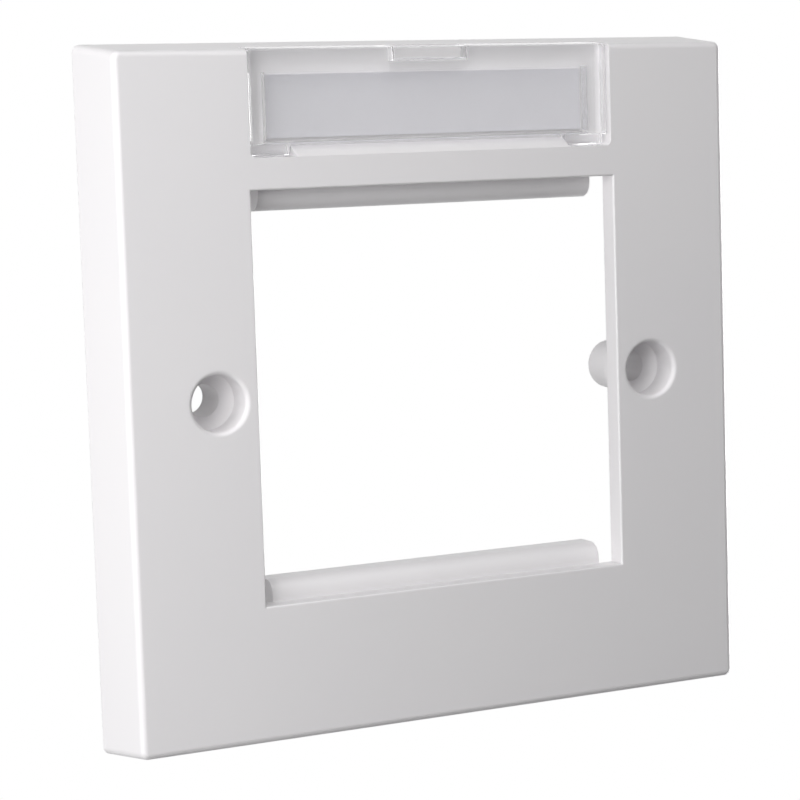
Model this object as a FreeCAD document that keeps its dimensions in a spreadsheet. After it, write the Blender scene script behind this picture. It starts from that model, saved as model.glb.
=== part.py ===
import FreeCAD, Part
import math
import os

import Sketcher
from FreeCAD import Placement, Vector

# Single-gang faceplate for two snap-in half-width modules, with a hinged clear label cover.
#
# Frame: the origin lies midway between the two fixing holes, in the plane of the rear rim
# that meets the wall. +X is to the right as the plate is seen, +Y goes into the wall and
# +Z is up, so the visible face is at Y = -plate_depth. Sizes are in millimetres, and a
# depth is measured from the visible face towards the wall.

SIZES = [
    # the shell
    ("plate_width", 86.0, "width and height at the rear rim"),
    ("plate_depth", 10.5, "visible face to rear rim"),
    ("side_lean", 1.2, "how far each side leans in from rim to face"),
    ("plate_corner", 1.0, "corner radius of the outline"),
    ("face_round", 0.8, "rounding between face and sides"),
    ("face_wall", 2.6, "thickness of the face"),
    ("skirt_wall", 2.0, "thickness of the sides"),
    ("inner_corner", 1.0, "corner radius inside the shell"),
    # the opening for the modules, and the rails that they clip behind
    ("module_width", 50.2, "opening for two half-width modules"),
    ("module_height", 50.2, "height of the same opening"),
    ("opening_round", 0.25, "rounding of the opening's front edge"),
    ("rail_reach", 2.6, "how far a rail stands out into the opening"),
    ("rail_root", 2.6, "how far it stands behind the face"),
    ("rail_depth", 4.6, "front to back of a rail"),
    ("rail_inset", 1.95, "opening's side to a rail's end"),
    ("rail_nose", 1.9, "rounding of a rail's long front edge"),
    ("rail_heel", 0.3, "rounding of a rail's long rear edge"),
    ("rail_web", 1.6, "wall left round a rail's cores"),
    # the fixing screws
    ("screw_land", 5.05, "opening's side to a fixing hole's axis: the holes are 60.3 apart"),
    ("screw_bore", 4.0, "clearance hole for an M3.5 screw"),
    ("seat_bore", 6.9, "counterbore for the screw's head"),
    ("seat_round", 0.6, "rounding at the counterbore's mouth"),
    ("seat_depth", 3.9, "depth of the counterbore's wall"),
    ("seat_cone", 1.4, "depth of the cone under the counterbore"),
    ("boss_wall", 1.3, "wall of a boss round its counterbore"),
    ("boss_neck", 7.2, "diameter of a boss under its counterbore"),
    ("boss_foot", 6.3, "diameter of a boss at the wall"),
    ("rib_wall", 1.2, "rib from a boss to the side"),
    ("rib_drop", 3.5, "how far a rib stops short of the rim"),
    # the recess for the label cover
    ("recess_width", 49.9, "width of the label recess"),
    ("recess_bridge", 3.85, "face left between the opening and the recess"),
    ("recess_depth", 3.6, "face to the recess's floor"),
    ("recess_back", 1.6, "wall behind the recess"),
    ("recess_lip", 1.8, "how far that wall reaches past the recess"),
    ("recess_corner", 0.8, "radius of the recess's lower corners"),
    ("sill_rise", 1.3, "height of the sill between the lug pockets"),
    ("sill_run", 2.0, "depth of the sill's bevel"),
    # the label cover and the strip behind it
    ("cover_gap", 0.25, "clearance beside and behind the cover"),
    ("cover_inset", 0.4, "face to the cover's front"),
    ("cover_front", 1.3, "thickness of the cover's window"),
    ("cover_side", 2.4, "rim of the cover beside the window"),
    ("cover_top", 2.75, "rim of the cover above the window"),
    ("cover_foot", 0.55, "rim of the cover below the window"),
    ("cover_round", 0.45, "rounding of the cover's front edges"),
    ("cover_corner", 0.6, "radius of the cover's upper corners"),
    ("lug_length", 5.6, "length of a hinge lug"),
    ("lug_radius", 0.6, "radius of a hinge lug"),
    ("lug_gap", 0.2, "clearance round the lugs and over the sill"),
    ("lug_inset", 1.05, "hinge axis to the cover's back"),
    ("nail_width", 10.4, "fingernail notch"),
    ("nail_height", 1.65, "fingernail notch"),
    ("nail_depth", 1.9, "fingernail notch, from the cover's back"),
    ("nail_round", 0.4, "rounding at the root of the notch"),
    ("strip_thick", 0.25, "paper strip"),
    ("strip_gap", 0.2, "clearance round the strip"),
]

CORES = 4
TINY = 1e-4

doc = FreeCAD.newDocument("faceplate")
sheet = doc.addObject("Spreadsheet::Sheet", "dims")
value = {}
for row, (alias, size, note) in enumerate(SIZES, start=1):
    sheet.set(f"A{row}", note)
    sheet.set(f"B{row}", str(size))
    sheet.setAlias(f"B{row}", alias)
    value[alias] = size
doc.recompute()

# Lengths that several features share, as expressions over the sheet.
FACE = "dims.plate_depth"
FACE_HALF = "(dims.plate_width / 2 - dims.side_lean)"
RAIL_LOW = "(dims.module_height / 2 - dims.rail_reach)"
RAIL_HIGH = "(dims.module_height / 2 + dims.rail_root)"
RAIL_HALF = "(dims.module_width / 2 - dims.rail_inset)"
SCREW_AT = "(dims.module_width / 2 + dims.screw_land)"
RECESS_FOOT = "(dims.module_height / 2 + dims.recess_bridge)"
COVER_HALF = "(dims.recess_width / 2 - dims.cover_gap)"
COVER_BACK = "(dims.recess_depth - dims.cover_gap)"
SILL_TOP = f"({RECESS_FOOT} + dims.sill_rise)"
SILL_HALF = f"({COVER_HALF} - dims.lug_length - dims.lug_gap)"
COVER_LOW = f"({SILL_TOP} + dims.lug_gap)"
HINGE_DEPTH = f"({COVER_BACK} - dims.lug_inset)"
HINGE_HEIGHT = f"({RECESS_FOOT} + dims.lug_gap + dims.lug_radius)"
WINDOW_HALF = f"({COVER_HALF} - dims.cover_side)"
WINDOW_LOW = f"({COVER_LOW} + dims.cover_foot)"
WINDOW_HIGH = f"({FACE_HALF} - dims.cover_top)"


def at_depth(depth):
    """The Y of a point at that depth behind the visible face."""
    return f"({depth} - dims.plate_depth)"


def side_at(depth):
    """Half the outline's width at that depth, on the leaning side."""
    return f"({FACE_HALF} + dims.side_lean * ({depth}) / dims.plate_depth)"


def plane(body, role):
    """The body's own origin plane with that role."""
    for member in body.Origin.OriginFeatures:
        if member.Role == role:
            return member
    raise ValueError(role)


def new_body(name):
    body = doc.addObject("PartDesign::Body", name)
    body.Label = name
    body.Placement = Placement()
    return body


def new_sketch(body, name, role, offset="0", shift="0"):
    """A sketch on an origin plane, moved along its normal and along its first axis."""
    sketch = body.newObject("Sketcher::SketchObject", name)
    sketch.AttachmentSupport = [(plane(body, role), "")]
    sketch.MapMode = "FlatFace"
    sketch.setExpression("AttachmentOffset.Base.z", offset)
    sketch.setExpression("AttachmentOffset.Base.x", shift)
    return sketch


def pin_point(sketch, edge, point, across, along):
    """Holds one end of an edge at two expressions from the sketch's origin."""
    for kind, text in (("DistanceX", across), ("DistanceY", along)):
        index = sketch.addConstraint(Sketcher.Constraint(kind, -1, 1, edge, point, 1.0))
        sketch.setExpression(f"Constraints[{index}]", text)


def polygon(sketch, corners):
    """A closed polygon, whose constraints put each corner at its pair of expressions."""
    count = len(corners)
    first = sketch.GeometryCount
    turn = math.tau / count
    spots = [Vector(math.cos(k * turn), math.sin(k * turn), 0) for k in range(count)]
    for k in range(count):
        sketch.addGeometry(Part.LineSegment(spots[k], spots[(k + 1) % count]), False)
    for k in range(count):
        following = first + (k + 1) % count
        sketch.addConstraint(Sketcher.Constraint("Coincident", first + k, 2, following, 1))
    for k, (across, along) in enumerate(corners):
        pin_point(sketch, first + k, 1, across, along)
    return first


def rectangle(sketch, left, low, right, high):
    return polygon(sketch, [(left, low), (right, low), (right, high), (left, high)])


def build_up(body, kind, name, sketch, **settings):
    """Adds an additive or subtractive feature and checks that it did something."""
    doc.recompute()
    before = body.Shape.Volume if body.Tip else 0.0
    made = body.newObject(f"PartDesign::{kind}", name)
    made.Profile = sketch
    for key, setting in settings.items():
        if isinstance(setting, str) and setting.startswith("="):
            made.setExpression(key, setting[1:])
        else:
            setattr(made, key, setting)
    doc.recompute()
    sketch.Visibility = False
    grows = kind in ("Pad", "Revolution", "AdditiveLoft")
    gain = body.Shape.Volume - before
    if (gain if grows else -gain) < TINY:
        raise RuntimeError(f"{name} changed nothing")
    return made


def mirror(body, name, role, originals):
    made = body.newObject("PartDesign::Mirrored", name)
    made.Originals = originals
    made.MirrorPlane = (plane(body, role), [""])
    body.Tip = made
    doc.recompute()
    return made


def edge_names(shape, wanted):
    return [f"Edge{k}" for k, edge in enumerate(shape.Edges, start=1) if wanted(edge)]


def dress(body, kind, name, size, wanted, **settings):
    """A fillet or chamfer on the edges of the newest solid that the test picks."""
    base = body.Tip
    names = edge_names(base.Shape, wanted)
    if not names:
        raise RuntimeError(f"{name} found no edge")
    made = body.newObject(f"PartDesign::{kind}", name)
    made.Base = (base, names)
    made.setExpression("Radius" if kind == "Fillet" else "Size", size)
    for key, setting in settings.items():
        if isinstance(setting, str) and setting.startswith("="):
            made.setExpression(key, setting[1:])
        else:
            setattr(made, key, setting)
    doc.recompute()
    return made


def close(a, b):
    return abs(a - b) < TINY


def lies_at_y(edge, level):
    box = edge.BoundBox
    return close(box.YMin, level) and close(box.YMax, level)


# Faceplate: one moulding. Its sides lean in towards the face, and it is hollow from behind.
faceplate = new_body("faceplate")
face_y = -value["plate_depth"]

rim = new_sketch(faceplate, "RimOutline", "XZ_Plane")
rectangle(rim, *["-dims.plate_width / 2"] * 2, *["dims.plate_width / 2"] * 2)
face = new_sketch(faceplate, "FaceOutline", "XZ_Plane", FACE)
rectangle(face, *[f"-{FACE_HALF}"] * 2, *[FACE_HALF] * 2)
build_up(faceplate, "AdditiveLoft", "Shell", rim, Sections=[face], Ruled=True)
dress(faceplate, "Fillet", "OutlineCorners", "dims.plate_corner",
      lambda edge: edge.BoundBox.YLength > value["plate_depth"] / 2)
dress(faceplate, "Fillet", "FaceRound", "dims.face_round", lambda edge: lies_at_y(edge, face_y))

INNER_RIM = "(dims.plate_width / 2 - dims.skirt_wall)"
INNER_WALL = f"({side_at('dims.face_wall')} - dims.skirt_wall)"
hollow_rim = new_sketch(faceplate, "HollowAtRim", "XZ_Plane")
rectangle(hollow_rim, *[f"-{INNER_RIM}"] * 2, *[INNER_RIM] * 2)
hollow_wall = new_sketch(faceplate, "HollowAtWall", "XZ_Plane", f"{FACE} - dims.face_wall")
rectangle(hollow_wall, *[f"-{INNER_WALL}"] * 2, *[INNER_WALL] * 2)
build_up(faceplate, "SubtractiveLoft", "Hollow", hollow_rim, Sections=[hollow_wall], Ruled=True)


def is_inner_corner(edge):
    box = edge.BoundBox
    reach = value["plate_width"] / 2 - value["skirt_wall"]
    deep = box.YLength > (value["plate_depth"] - value["face_wall"]) / 2
    return deep and box.XLength > TINY and close(max(abs(box.XMin), abs(box.XMax)), reach)


dress(faceplate, "Fillet", "InnerCorners", "dims.inner_corner", is_inner_corner)

# The wall behind the label recess joins the face to the upper side.
backing = new_sketch(faceplate, "BackingOutline", "XZ_Plane",
                     f"{FACE} - dims.recess_depth - dims.recess_back")
BACKING_HALF = "(dims.recess_width / 2 + dims.recess_lip)"
rectangle(backing, f"-{BACKING_HALF}", f"{RECESS_FOOT} - dims.recess_lip",
          BACKING_HALF, f"{FACE_HALF} - dims.skirt_wall / 2")
build_up(faceplate, "Pad", "Backing", backing,
         Length="=dims.recess_depth + dims.recess_back - dims.face_wall / 2")

# The square opening and the two rails behind it.
opening = new_sketch(faceplate, "OpeningOutline", "XZ_Plane", FACE)
rectangle(opening, "-dims.module_width / 2", "-dims.module_height / 2",
          "dims.module_width / 2", "dims.module_height / 2")
build_up(faceplate, "Pocket", "Opening", opening, Length="=dims.face_wall")

rail_side = new_sketch(faceplate, "RailSection", "YZ_Plane")
RAIL_BACK = at_depth("(dims.face_wall + dims.rail_depth)")
rectangle(rail_side, at_depth("dims.face_wall"), RAIL_LOW, RAIL_BACK, RAIL_HIGH)
rail = build_up(faceplate, "Pad", "UpperRail", rail_side, Length=f"=2 * {RAIL_HALF}", Midplane=True)
mirror(faceplate, "LowerRail", "XY_Plane", [rail])


def is_rail_edge(depth):
    """A test for the long inner edges of both rails at that depth."""
    level = value["module_height"] / 2 - value["rail_reach"]

    def wanted(edge):
        box = edge.BoundBox
        inner = close(abs(box.ZMin), level) and box.ZLength < TINY
        return inner and lies_at_y(edge, depth - value["plate_depth"])

    return wanted


rail_back = value["face_wall"] + value["rail_depth"]
dress(faceplate, "Fillet", "RailNose", "dims.rail_nose", is_rail_edge(value["face_wall"]))
dress(faceplate, "Fillet", "RailHeel", "dims.rail_heel", is_rail_edge(rail_back))

# The rails are cored from behind, which leaves webs between the cores.
cores = new_sketch(faceplate, "RailCores", "XZ_Plane",
                   f"{FACE} - dims.face_wall - dims.rail_depth")
CORE_PITCH = f"((2 * {RAIL_HALF} - dims.rail_web) / {CORES})"
for side in ("", "-"):
    for k in range(CORES):
        left = f"dims.rail_web - {RAIL_HALF} + {k} * {CORE_PITCH}"
        rectangle(cores, left, f"{side}({RAIL_LOW} + dims.rail_web)",
                  f"{left} + {CORE_PITCH} - dims.rail_web", f"{side}({RAIL_HIGH} - dims.rail_web)")
build_up(faceplate, "Pocket", "Cores", cores, Length="=dims.rail_depth - dims.rail_web",
         Reversed=True)

# A fixing: the boss, its rib to the side, and the stepped hole through it.
boss_half = new_sketch(faceplate, "BossSection", "XY_Plane", shift=SCREW_AT)
SEAT_END = "(dims.seat_depth + dims.seat_cone)"
polygon(boss_half, [
    ("0", at_depth("dims.face_wall / 2")),
    ("dims.seat_bore / 2 + dims.boss_wall", at_depth("dims.face_wall / 2")),
    ("dims.seat_bore / 2 + dims.boss_wall", at_depth("dims.seat_depth")),
    ("dims.boss_neck / 2", at_depth(SEAT_END)),
    ("dims.boss_foot / 2", "0"),
    ("0", "0"),
])
boss = build_up(faceplate, "Revolution", "Boss", boss_half, Angle=360.0,
                ReferenceAxis=(boss_half, ["V_Axis"]))

rib_plan = new_sketch(faceplate, "RibPlan", "XY_Plane")
rectangle(rib_plan, SCREW_AT, at_depth("dims.face_wall / 2"),
          f"{FACE_HALF} - dims.skirt_wall / 2", "-dims.rib_drop")
rib = build_up(faceplate, "Pad", "Rib", rib_plan, Length="=dims.rib_wall", Midplane=True)

screw_half = new_sketch(faceplate, "ScrewSection", "XY_Plane", shift=SCREW_AT)
polygon(screw_half, [
    ("0", at_depth("-dims.face_wall")),
    ("dims.seat_bore / 2", at_depth("-dims.face_wall")),
    ("dims.seat_bore / 2", at_depth("dims.seat_depth")),
    ("dims.screw_bore / 2", at_depth(SEAT_END)),
    ("dims.screw_bore / 2", "dims.face_wall"),
    ("0", "dims.face_wall"),
])
screw = build_up(faceplate, "Groove", "ScrewHole", screw_half, Angle=360.0,
                 ReferenceAxis=(screw_half, ["V_Axis"]))
mirror(faceplate, "LeftFixing", "YZ_Plane", [boss, rib, screw])


def is_seat_mouth(edge):
    return lies_at_y(edge, face_y) and close(edge.BoundBox.XLength, value["seat_bore"])


dress(faceplate, "Fillet", "SeatMouths", "dims.seat_round", is_seat_mouth)


def is_opening_edge(edge):
    """The opening's four straight edges in the visible face."""
    box = edge.BoundBox
    high = max(abs(box.ZMin), abs(box.ZMax))
    wide = max(abs(box.XMin), abs(box.XMax))
    inside = high < value["module_height"] / 2 + TINY and wide < value["module_width"] / 2 + TINY
    return lies_at_y(edge, face_y) and inside


dress(faceplate, "Fillet", "OpeningRound", "dims.opening_round", is_opening_edge)

# The label recess is open at the top. Between its lug pockets runs a bevelled sill.
recess = new_sketch(faceplate, "RecessOutline", "XZ_Plane", FACE)
rectangle(recess, "-dims.recess_width / 2", RECESS_FOOT,
          "dims.recess_width / 2", "dims.plate_width / 2")
build_up(faceplate, "Pocket", "Recess", recess, Length="=dims.recess_depth")


def is_recess_corner(edge):
    box = edge.BoundBox
    foot = value["module_height"] / 2 + value["recess_bridge"]
    beside = close(abs(box.XMin), value["recess_width"] / 2) and box.XLength < TINY
    return beside and close(box.ZMin, foot) and box.ZLength < TINY


dress(faceplate, "Fillet", "RecessCorners", "dims.recess_corner", is_recess_corner)

sill_side = new_sketch(faceplate, "SillSection", "YZ_Plane")
polygon(sill_side, [
    (at_depth("0"), f"{RECESS_FOOT} - dims.sill_rise"),
    (at_depth("0"), RECESS_FOOT),
    (at_depth("dims.sill_run"), SILL_TOP),
    (at_depth("(dims.recess_depth + dims.recess_back / 2)"), SILL_TOP),
    (at_depth("(dims.recess_depth + dims.recess_back / 2)"), f"{RECESS_FOOT} - dims.sill_rise"),
])
build_up(faceplate, "Pad", "Sill", sill_side, Length=f"=2 * {SILL_HALF}", Midplane=True)

# Label cover: a clear moulding with a window recessed from behind. Two lugs at its foot sit
# in the recess's lower corners, and it tips forward about them.
cover = new_body("label_cover")
profile = new_sketch(cover, "CoverProfile", "YZ_Plane")
polygon(profile, [
    (at_depth("dims.cover_inset"), COVER_LOW),
    (at_depth(COVER_BACK), COVER_LOW),
    (at_depth(COVER_BACK), side_at(COVER_BACK)),
    (at_depth("dims.cover_inset"), side_at("dims.cover_inset")),
])
build_up(cover, "Pad", "CoverBar", profile, Length=f"=2 * {COVER_HALF}", Midplane=True)


def is_cover_corner(edge):
    box = edge.BoundBox
    across = box.XLength < TINY and box.YLength > value["cover_front"]
    return across and box.ZMax > value["plate_width"] / 2 - value["side_lean"]


dress(cover, "Fillet", "CoverCorners", "dims.cover_corner", is_cover_corner)
cover_y = value["cover_inset"] - value["plate_depth"]
dress(cover, "Fillet", "CoverRound", "dims.cover_round", lambda edge: lies_at_y(edge, cover_y))

lug_side = new_sketch(cover, "LugSection", "YZ_Plane", f"{COVER_HALF} - dims.lug_length")
web = lug_side.addGeometry(Part.LineSegment(Vector(-1, 1, 0), Vector(-1, 0, 0)), False)
head = lug_side.addGeometry(Part.LineSegment(Vector(1, 1, 0), Vector(-1, 1, 0)), False)
back = lug_side.addGeometry(Part.LineSegment(Vector(1, 0, 0), Vector(1, 1, 0)), False)
nose = lug_side.addGeometry(
    Part.ArcOfCircle(Part.Circle(Vector(0, 0, 0), Vector(0, 0, 1), 1.0), math.pi, math.tau), False)
for one, end, other, start in ((head, 2, web, 1), (back, 2, head, 1), (nose, 2, back, 1),
                               (web, 2, nose, 1)):
    lug_side.addConstraint(Sketcher.Constraint("Coincident", one, end, other, start))
lug_side.addConstraint(Sketcher.Constraint("Vertical", web))
lug_side.addConstraint(Sketcher.Constraint("Vertical", back))
lug_side.addConstraint(Sketcher.Constraint("Horizontal", head))
lug_side.addConstraint(Sketcher.Constraint("Horizontal", nose, 1, nose, 3))
lug_side.addConstraint(Sketcher.Constraint("Horizontal", nose, 2, nose, 3))
pin_point(lug_side, nose, 3, at_depth(HINGE_DEPTH), HINGE_HEIGHT)
radius = lug_side.addConstraint(Sketcher.Constraint("Radius", nose, 1.0))
lug_side.setExpression(f"Constraints[{radius}]", "dims.lug_radius")
rise = lug_side.addConstraint(Sketcher.Constraint("DistanceY", back, 1, back, 2, 1.0))
lug_side.setExpression(f"Constraints[{rise}]", f"{WINDOW_LOW} - {HINGE_HEIGHT}")
lug = build_up(cover, "Pad", "RightLug", lug_side, Length="=dims.lug_length")
mirror(cover, "LeftLug", "YZ_Plane", [lug])

window = new_sketch(cover, "WindowOutline", "XZ_Plane", f"{FACE} - {COVER_BACK}")
rectangle(window, f"-{WINDOW_HALF}", WINDOW_LOW, WINDOW_HALF, WINDOW_HIGH)
build_up(cover, "Pocket", "Window", window, Reversed=True,
         Length=f"={COVER_BACK} - dims.cover_inset - dims.cover_front")

notch = new_sketch(cover, "NotchOutline", "XZ_Plane", f"{FACE} - {COVER_BACK}")
rectangle(notch, "-dims.nail_width / 2", f"{FACE_HALF} - dims.nail_height",
          "dims.nail_width / 2", "dims.plate_width / 2")
build_up(cover, "Pocket", "NailNotch", notch, Reversed=True, Length="=dims.nail_depth")


def is_notch_root(edge):
    """The lower and side edges of the notch's deepest face."""
    box = edge.BoundBox
    depth = value["recess_depth"] - value["cover_gap"] - value["nail_depth"]
    inside = max(abs(box.XMin), abs(box.XMax)) < value["nail_width"] / 2 + TINY
    below_top = box.ZMin < value["plate_width"] / 2 - value["side_lean"]
    return lies_at_y(edge, depth - value["plate_depth"]) and inside and below_top


dress(cover, "Fillet", "NotchRoot", "dims.nail_round", is_notch_root)

# Label strip: blank paper that rests on the recess's floor, inside the window's outline.
strip = doc.addObject("Part::Box", "label_strip")
strip.Label = "label_strip"
for setting, text in (
    ("Length", f"2 * ({WINDOW_HALF} - dims.strip_gap)"),
    ("Width", "dims.strip_thick"),
    ("Height", f"{WINDOW_HIGH} - {WINDOW_LOW} - 2 * dims.strip_gap"),
    ("Placement.Base.x", f"dims.strip_gap - {WINDOW_HALF}"),
    ("Placement.Base.y", at_depth("(dims.recess_depth - dims.strip_thick)")),
    ("Placement.Base.z", f"{WINDOW_LOW} + dims.strip_gap"),
):
    strip.setExpression(setting, text)
doc.recompute()

for member in doc.Objects:
    if {"Invalid", "Error"} & set(member.State):
        raise RuntimeError(f"{member.Name}: {member.State}")
nodes = [faceplate, cover, strip]
for node in nodes:
    shape = node.Shape
    if shape.isNull() or not shape.isValid() or len(shape.Solids) != 1:
        raise RuntimeError(f"{node.Label} is not one valid solid")

os.makedirs("parts", exist_ok=True)
for node in nodes:
    node.Shape.exportStep(f"parts/{node.Label}.step")
    print(node.Label, round(node.Shape.Volume, 1), "mm3")
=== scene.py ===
import math

import bpy
from mathutils import Matrix, Vector


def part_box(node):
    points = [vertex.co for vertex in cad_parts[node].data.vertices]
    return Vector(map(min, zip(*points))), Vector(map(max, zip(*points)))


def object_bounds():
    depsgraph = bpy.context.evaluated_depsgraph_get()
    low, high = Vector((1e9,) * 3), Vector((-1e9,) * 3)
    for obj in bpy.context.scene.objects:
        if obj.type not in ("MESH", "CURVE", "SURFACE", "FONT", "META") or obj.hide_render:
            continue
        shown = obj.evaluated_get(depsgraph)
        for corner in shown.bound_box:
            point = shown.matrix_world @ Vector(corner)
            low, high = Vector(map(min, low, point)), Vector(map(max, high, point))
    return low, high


bl_info = {
    "name": "Single-gang faceplate",
    "version": (1, 0, 0),
    "blender": (4, 5, 0),
    "location": "3D View > Sidebar > Faceplate",
    "description": "Finishes, stage and camera for a moulded faceplate with a clear label cover",
    "category": "Material",
}

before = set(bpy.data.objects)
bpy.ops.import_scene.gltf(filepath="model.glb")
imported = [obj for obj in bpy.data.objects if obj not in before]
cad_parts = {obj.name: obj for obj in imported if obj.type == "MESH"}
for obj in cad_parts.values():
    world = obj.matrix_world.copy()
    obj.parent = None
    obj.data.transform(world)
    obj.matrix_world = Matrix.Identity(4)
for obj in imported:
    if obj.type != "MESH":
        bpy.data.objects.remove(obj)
CAD_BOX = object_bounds()
FACE_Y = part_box("faceplate")[0].y
MM = 0.001

# The stage, in metres. A place is counted to the right, into the wall and up.
FLOOR_SIDE = 3.0
SOFTBOX_SIDE = 0.28
KEY_PLACE = (-0.24, FACE_Y - 0.1, 0.015)
TOP_PLACE = (0.0, FACE_Y - 0.2, 0.35)
FRONT_PLACE = (-0.25, FACE_Y - 0.35, 0.15)
BACK_PLACE = (0.39, FACE_Y + 0.21, -0.08)
CLIP_START = 0.01
SENSOR_WIDTH_MM = 36.0

# Inside the materials: bounce counts, shares, widths in millimetres and heights in metres
NO_BOUNCE = 0.5             # a count of bounces under this is none
RIM_TURNS = 4.5             # a ray of more bounces than this goes straight through the cover
GROUND_LIFT = 0.9           # white added to the ground where it is seen
CLOUD_SHADE = 0.96          # the paper's darker clouds against its colour
FLOW_MM = 25.0              # patches in the moulding's white
CLOUD_MM = 3.0              # clouds in the paper
POLISH_RISE = 0.02 * MM     # slow waves that polishing leaves in a mould
GRAIN_RISE = 0.004 * MM     # fine texture of the mould's surface
WAVE_RISE = 0.02 * MM       # flow waves in the cover's window
FIBRE_RISE = 0.02 * MM      # the paper's fibres


# Colour and nodes

def linear(hex_colour):
    """An sRGB colour written as #RRGGBB, as the linear values that a shader takes."""
    parts = [int(hex_colour[k:k + 2], 16) / 255 for k in (1, 3, 5)]
    bent = [p / 12.92 if p <= 0.04045 else ((p + 0.055) / 1.055) ** 2.4 for p in parts]
    return (*bent, 1.0)


def swatch(name, description, hex_colour):
    """A colour property whose default is an sRGB hex value."""
    return bpy.props.FloatVectorProperty(
        name=name, description=description, subtype="COLOR", size=3, min=0.0, max=1.0,
        default=linear(hex_colour)[:3])


def distance(name, description, metres):
    """A length property whose default is in metres."""
    return bpy.props.FloatProperty(
        name=name, description=description, unit="LENGTH", default=metres, precision=5)


def add_node(tree, kind, settings=None, values=None, links=None):
    """A new node with its own settings, its sockets' values and the outputs linked into it."""
    node = tree.nodes.new(kind)
    for key, setting in (settings or {}).items():
        setattr(node, key, setting)
    for key, amount in (values or {}).items():
        node.inputs[key].default_value = amount
    for key, source in (links or {}).items():
        tree.links.new(source, node.inputs[key])
    return node


def new_material(name):
    """An empty material with an output node, and its tree."""
    material = bpy.data.materials.new(name)
    material.use_nodes = True
    material.node_tree.nodes.clear()
    output = material.node_tree.nodes.new("ShaderNodeOutputMaterial")
    return material, material.node_tree, output


def per_metre(millimetres):
    """The scale of a noise or wave texture whose pattern repeats over that many millimetres."""
    return 1.0 / (millimetres * MM)


def shows_white(tree):
    """1 where the camera sees a surface itself, in gloss or through clear plastic, else 0.

    Light that has bounced off a matt surface first gets 0, so that white adds no light.
    """
    path = add_node(tree, "ShaderNodeLightPath").outputs
    seen = path["Is Camera Ray"]
    for kind in ("Is Glossy Ray", "Is Transmission Ray"):
        seen = add_node(tree, "ShaderNodeMath", {"operation": "MAXIMUM"},
                        links={0: seen, 1: path[kind]}).outputs["Value"]
    direct = add_node(tree, "ShaderNodeMath", {"operation": "LESS_THAN"}, {1: NO_BOUNCE},
                      {0: path["Diffuse Depth"]}).outputs["Value"]
    return add_node(tree, "ShaderNodeMath", {"operation": "MULTIPLY"},
                    links={0: seen, 1: direct}).outputs["Value"]


def finish(node_name, material):
    """Gives a carried-over node one material in all its slots."""
    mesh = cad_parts[node_name].data
    if not mesh.materials:
        mesh.materials.append(material)
    for k in range(len(mesh.materials)):
        mesh.materials[k] = material


# Sizes and colours that a user would change

class MouldingSettings(bpy.types.PropertyGroup):
    colour: swatch("Moulding", "White of the moulded plate", "#EEECED")
    tone: swatch("Tone", "Slightly greyer white where the resin flowed last", "#EAE8EA")
    ripple: distance("Ripple", "Width of the slow waves that polishing leaves in a mould", 0.006)
    grain: distance("Grain", "Width of the fine texture of the mould's surface", 0.0005)
    edge: distance("Edge", "Radius of the arrises that the model keeps sharp", 0.00012)


class CoverSettings(bpy.types.PropertyGroup):
    colour: swatch("Cover", "Tint of the clear cover", "#FAFAFA")
    face_pass: swatch("Through the faces", "Lamp light left after a face of the cover", "#F9F9F9")
    wall_pass: swatch("Through the walls", "Lamp light left after a side wall of it", "#CCCCCF")
    ripple: distance("Ripple", "Width of the flow waves in the window", 0.009)


class LabelSettings(bpy.types.PropertyGroup):
    colour: swatch("Paper", "Blank paper of the label strip", "#DEDDE2")
    fibre: distance("Fibre", "Width of the paper's fibres, drawn coarse enough to show", 0.0004)


class StageSettings(bpy.types.PropertyGroup):
    floor: swatch("Floor", "Pale floor under the plate", "#F2F2F2")
    drop: distance("Floor drop", "Floor below the plate's lower edge, as the plate is held up", 0.7)
    azimuth: bpy.props.FloatProperty(
        name="Azimuth", description="Turn of the view to the left of straight on",
        subtype="ANGLE", default=math.radians(26.35))
    tilt: bpy.props.FloatProperty(
        name="Tilt", description="How far the view looks down", subtype="ANGLE",
        default=math.radians(5.963))
    roll: bpy.props.FloatProperty(
        name="Roll", description="Turn about the view's own axis", subtype="ANGLE",
        default=math.radians(-1.863))
    reach: distance("Distance", "Camera to the point it looks at", 0.3105)
    aside: distance("Aim aside", "Aimed point right of the plate's middle", -0.00625)
    aloft: distance("Aim aloft", "Aimed point above the plate's middle", -0.00134)
    lens: bpy.props.FloatProperty(
        name="Lens", description="Focal length on a 36 mm wide sensor, in millimetres",
        unit="CAMERA", default=113.4)
    key: bpy.props.FloatProperty(
        name="Key light", description="Power of the softbox at the left", unit="POWER",
        default=0.75)
    top: bpy.props.FloatProperty(
        name="Top light", description="Power of the softbox above", unit="POWER", default=0.7)
    front: bpy.props.FloatProperty(
        name="Front light", description="Power of the softbox beside the camera", unit="POWER",
        default=0.43)
    back: bpy.props.FloatProperty(
        name="Back light", description="Power of the softbox behind, low on the right",
        unit="POWER", default=2.0)
    fill: bpy.props.FloatProperty(
        name="Fill", description="Strength of the even light from all round", default=0.02)
    fill_colour: swatch("Fill colour", "Slightly cool even light", "#FBFBFF")


# Materials

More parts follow.
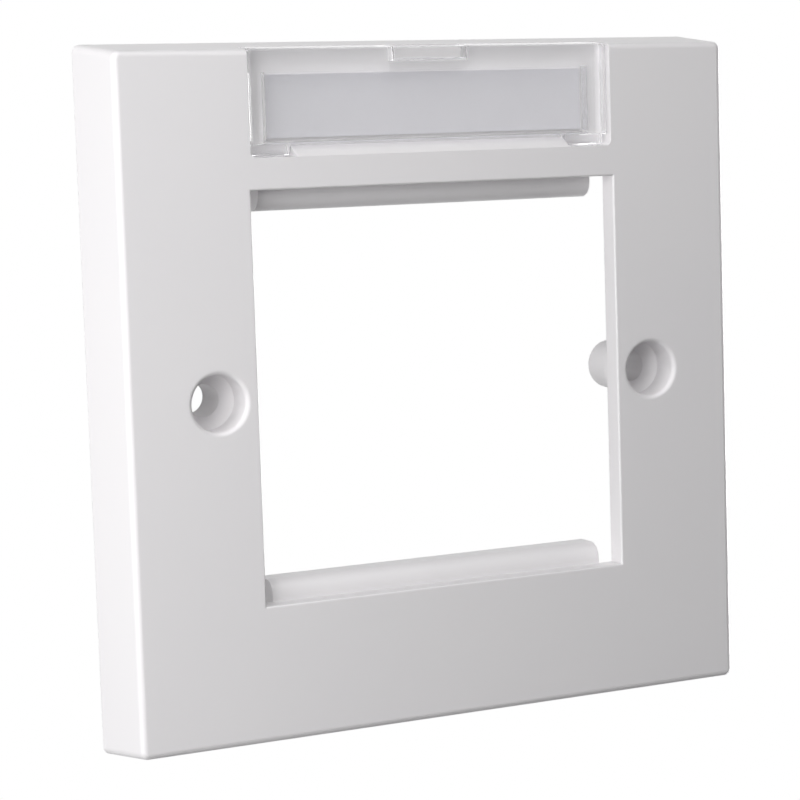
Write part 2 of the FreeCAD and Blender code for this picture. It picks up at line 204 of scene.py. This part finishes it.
def compression_moulded_urea(settings):
    """Urea-formaldehyde, compression moulded in a polished tool.

    The eye sees a hard, dense white with a clean but soft gloss: highlights keep their shape,
    and their edges waver a little over the slow ripple that hand polishing leaves in the tool.
    """
    material, tree, output = new_material("compression_moulded_urea")
    place = add_node(tree, "ShaderNodeTexCoord").outputs["Object"]
    flow = add_node(tree, "ShaderNodeTexNoise", values={
        "Scale": per_metre(FLOW_MM), "Detail": 2.0, "Roughness": 0.5}, links={"Vector": place})
    tint = add_node(tree, "ShaderNodeMix", {"data_type": "RGBA"},
                    {"A": (*settings.colour, 1.0), "B": (*settings.tone, 1.0)},
                    {"Factor": flow.outputs["Fac"]})
    ripple = add_node(tree, "ShaderNodeTexNoise", values={
        "Scale": 1.0 / settings.ripple, "Detail": 1.0}, links={"Vector": place})
    grain = add_node(tree, "ShaderNodeTexNoise", values={
        "Scale": 1.0 / settings.grain, "Detail": 3.0}, links={"Vector": place})
    arris = add_node(tree, "ShaderNodeBevel", {"samples": 6}, {"Radius": settings.edge})
    slow = add_node(tree, "ShaderNodeBump", values={"Strength": 0.1, "Distance": POLISH_RISE},
                    links={"Height": ripple.outputs["Fac"], "Normal": arris.outputs["Normal"]})
    fine = add_node(tree, "ShaderNodeBump", values={"Strength": 0.12, "Distance": GRAIN_RISE},
                    links={"Height": grain.outputs["Fac"], "Normal": slow.outputs["Normal"]})
    shader = add_node(tree, "ShaderNodeBsdfPrincipled", values={"IOR": 1.55, "Roughness": 0.38},
                      links={"Base Color": tint.outputs["Result"],
                             "Normal": fine.outputs["Normal"]})
    tree.links.new(shader.outputs["BSDF"], output.inputs["Surface"])
    return material


def moulded_clear_polystyrene(settings):
    """General-purpose polystyrene, injection moulded and left clear.

    The eye sees a bright, glassy rim and a clean window: the thickness shows at the edges,
    where the light is bent, and the window's faces carry a faint wave from the flow.
    """
    material, tree, output = new_material("moulded_clear_polystyrene")
    place = add_node(tree, "ShaderNodeTexCoord").outputs["Object"]
    ripple = add_node(tree, "ShaderNodeTexNoise", values={
        "Scale": 1.0 / settings.ripple, "Detail": 1.0}, links={"Vector": place})
    wave = add_node(tree, "ShaderNodeBump", values={"Strength": 0.02, "Distance": WAVE_RISE},
                    links={"Height": ripple.outputs["Fac"]})
    clear = add_node(tree, "ShaderNodeBsdfPrincipled", values={
        "Base Color": (*settings.colour, 1.0), "Roughness": 0.03, "IOR": 1.59,
        "Transmission Weight": 1.0}, links={"Normal": wave.outputs["Normal"]})
    # Lamp light passes the cover, so that the paper behind it is lit. Less of it passes the
    # side walls, which turn part of it back inside, so a soft shadow edges the window.
    normal = add_node(tree, "ShaderNodeNewGeometry").outputs["Normal"]
    front_share = add_node(tree, "ShaderNodeSeparateXYZ", links={"Vector": normal}).outputs["Y"]
    facing = add_node(tree, "ShaderNodeMath", {"operation": "ABSOLUTE"}, links={0: front_share})
    left = add_node(tree, "ShaderNodeMix", {"data_type": "RGBA"},
                    {"A": (*settings.wall_pass, 1.0), "B": (*settings.face_pass, 1.0)},
                    {"Factor": facing.outputs["Value"]})
    through = add_node(tree, "ShaderNodeBsdfTransparent", links={"Color": left.outputs["Result"]})
    # Light that zigzags down a rim goes straight on after a few turns, and isn't lost inside.
    path = add_node(tree, "ShaderNodeLightPath").outputs
    turned = add_node(tree, "ShaderNodeMath", {"operation": "GREATER_THAN"}, {1: RIM_TURNS},
                      {0: path["Ray Depth"]})
    straight = add_node(tree, "ShaderNodeMath", {"operation": "MAXIMUM"}, links={
        0: path["Is Shadow Ray"], 1: turned.outputs["Value"]})
    both = add_node(tree, "ShaderNodeMixShader", links={
        "Fac": straight.outputs["Value"], 1: clear.outputs["BSDF"], 2: through.outputs["BSDF"]})
    tree.links.new(both.outputs["Shader"], output.inputs["Surface"])
    return material


def uncoated_paper(settings):
    """Uncoated bond paper, cut in a strip.

    The eye sees a matt, slightly cool off-white with a faint cloudiness from the fibres.
    """
    material, tree, output = new_material("uncoated_paper")
    place = add_node(tree, "ShaderNodeTexCoord").outputs["Object"]
    cloud = add_node(tree, "ShaderNodeTexNoise", values={
        "Scale": per_metre(CLOUD_MM), "Detail": 4.0}, links={"Vector": place})
    fibre = add_node(tree, "ShaderNodeTexNoise", values={
        "Scale": 1.0 / settings.fibre, "Detail": 2.0}, links={"Vector": place})
    shade = [CLOUD_SHADE * part for part in settings.colour]
    tint = add_node(tree, "ShaderNodeMix", {"data_type": "RGBA"},
                    {"A": (*settings.colour, 1.0), "B": (*shade, 1.0)},
                    {"Factor": cloud.outputs["Fac"]})
    rise = add_node(tree, "ShaderNodeBump", values={"Strength": 0.3, "Distance": FIBRE_RISE},
                    links={"Height": fibre.outputs["Fac"]})
    shader = add_node(tree, "ShaderNodeBsdfPrincipled", values={
        "Roughness": 0.9, "IOR": 1.45, "Specular IOR Level": 0.3},
        links={"Base Color": tint.outputs["Result"], "Normal": rise.outputs["Normal"]})
    tree.links.new(shader.outputs["BSDF"], output.inputs["Surface"])
    return material


def pale_ground(settings):
    """A pale painted board, lifted to white where it is seen, with the shadows on it kept."""
    material, tree, output = new_material("pale_painted_board")
    matt = add_node(tree, "ShaderNodeBsdfDiffuse", values={"Color": (*settings.floor, 1.0)})
    lift = add_node(tree, "ShaderNodeMath", {"operation": "MULTIPLY"}, {1: GROUND_LIFT},
                    {0: shows_white(tree)})
    white = add_node(tree, "ShaderNodeEmission", links={"Strength": lift.outputs["Value"]})
    both = add_node(tree, "ShaderNodeAddShader", links={
        0: matt.outputs["BSDF"], 1: white.outputs["Emission"]})
    tree.links.new(both.outputs["Shader"], output.inputs["Surface"])
    return material


# Stage

def light_world(strength, colour):
    """Even light from all round, plain white where it is seen."""
    world = bpy.data.worlds.new("studio")
    bpy.context.scene.world = world
    world.use_nodes = True
    tree = world.node_tree
    tree.nodes.clear()
    output = tree.nodes.new("ShaderNodeOutputWorld")
    even = add_node(tree, "ShaderNodeBackground", values={
        "Color": (*colour, 1.0), "Strength": strength})
    white = add_node(tree, "ShaderNodeBackground", values={
        "Color": (1.0, 1.0, 1.0, 1.0), "Strength": 1.0})
    both = add_node(tree, "ShaderNodeMixShader", links={
        "Fac": shows_white(tree), 1: even.outputs["Background"], 2: white.outputs["Background"]})
    tree.links.new(both.outputs["Shader"], output.inputs["Surface"])


def place_camera(settings):
    """A camera that looks at the aimed point of the visible face from the set angles."""
    camera = bpy.data.objects.new("camera", bpy.data.cameras.new("camera"))
    bpy.context.scene.collection.objects.link(camera)
    camera.data.sensor_width = SENSOR_WIDTH_MM
    camera.data.lens = settings.lens
    camera.data.clip_start = CLIP_START
    turn = (Matrix.Rotation(-settings.azimuth, 4, "Z")
            @ Matrix.Rotation(math.pi / 2 - settings.tilt, 4, "X")
            @ Matrix.Rotation(settings.roll, 4, "Z"))
    aim = Vector((settings.aside, FACE_Y, settings.aloft))
    back = turn @ Vector((0.0, 0.0, settings.reach))
    camera.matrix_world = Matrix.Translation(aim + back) @ turn
    bpy.context.scene.camera = camera


def area_light(name, place, power, glare=True):
    """A square softbox at a place, facing the middle of the plate's face.

    Without glare it lights surfaces but isn't mirrored in them, as behind a polarising film.
    """
    lamp = bpy.data.lights.new(name, "AREA")
    lamp.size = SOFTBOX_SIDE
    lamp.energy = power
    holder = bpy.data.objects.new(name, lamp)
    bpy.context.scene.collection.objects.link(holder)
    holder.location = place
    holder.visible_glossy = glare
    aim = Vector((0.0, FACE_Y, 0.0)) - Vector(place)
    holder.rotation_euler = aim.to_track_quat("-Z", "Y").to_euler()


# Operators

class FACEPLATE_OT_moulding(bpy.types.Operator):
    """Finish the moulded plate"""
    bl_idname = "faceplate.moulding"
    bl_label = "Moulded plate"

    def execute(self, context):
        finish("faceplate", compression_moulded_urea(context.scene.faceplate_moulding))
        return {"FINISHED"}


class FACEPLATE_OT_label_cover(bpy.types.Operator):
    """Finish the clear label cover"""
    bl_idname = "faceplate.label_cover"
    bl_label = "Label cover"

    def execute(self, context):
        finish("label_cover", moulded_clear_polystyrene(context.scene.faceplate_cover))
        return {"FINISHED"}


class FACEPLATE_OT_label_strip(bpy.types.Operator):
    """Finish the blank paper strip behind the cover"""
    bl_idname = "faceplate.label_strip"
    bl_label = "Label strip"

    def execute(self, context):
        finish("label_strip", uncoated_paper(context.scene.faceplate_label))
        return {"FINISHED"}


class FACEPLATE_OT_stage(bpy.types.Operator):
    """Set up the floor, the lights, the background and the camera"""
    bl_idname = "faceplate.stage"
    bl_label = "Stage"

    def execute(self, context):
        settings = context.scene.faceplate_stage
        low = CAD_BOX[0][2] - settings.drop
        bpy.ops.mesh.primitive_plane_add(size=FLOOR_SIDE, location=(0.0, 0.0, low))
        floor = context.object
        floor.name = "floor"
        floor.data.materials.append(pale_ground(settings))
        light_world(settings.fill, settings.fill_colour)
        area_light("key", KEY_PLACE, settings.key, glare=False)
        area_light("top", TOP_PLACE, settings.top)
        area_light("front", FRONT_PLACE, settings.front)
        area_light("back", BACK_PLACE, settings.back)
        place_camera(settings)
        context.scene.view_settings.view_transform = "Standard"
        return {"FINISHED"}


class FACEPLATE_PT_panel(bpy.types.Panel):
    """Buttons for each piece and the stage"""
    bl_label = "Faceplate"
    bl_idname = "FACEPLATE_PT_panel"
    bl_space_type = "VIEW_3D"
    bl_region_type = "UI"
    bl_category = "Faceplate"

    def draw(self, context):
        for operator in OPERATORS:
            self.layout.operator(operator.bl_idname)
        for name in SETTINGS:
            group = getattr(context.scene, name)
            box = self.layout.box()
            for key in group.bl_rna.properties.keys():
                if key not in ("rna_type", "name"):
                    box.prop(group, key)


OPERATORS = (
    FACEPLATE_OT_moulding,
    FACEPLATE_OT_label_cover,
    FACEPLATE_OT_label_strip,
    FACEPLATE_OT_stage,
)
SETTINGS = {
    "faceplate_moulding": MouldingSettings,
    "faceplate_cover": CoverSettings,
    "faceplate_label": LabelSettings,
    "faceplate_stage": StageSettings,
}


def register():
    """Makes the settings, the operators and the panel known to Blender."""
    for name, group in SETTINGS.items():
        bpy.utils.register_class(group)
        setattr(bpy.types.Scene, name, bpy.props.PointerProperty(type=group))
    for operator in OPERATORS:
        bpy.utils.register_class(operator)
    bpy.utils.register_class(FACEPLATE_PT_panel)


def unregister():
    """Takes the panel, the operators and the settings away again."""
    bpy.utils.unregister_class(FACEPLATE_PT_panel)
    for operator in reversed(OPERATORS):
        bpy.utils.unregister_class(operator)
    for name, group in SETTINGS.items():
        delattr(bpy.types.Scene, name)
        bpy.utils.unregister_class(group)


def main():
    """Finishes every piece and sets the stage."""
    register()
    bpy.ops.faceplate.moulding()
    bpy.ops.faceplate.label_cover()
    bpy.ops.faceplate.label_strip()
    bpy.ops.faceplate.stage()


if __name__ == "__main__":
    main()
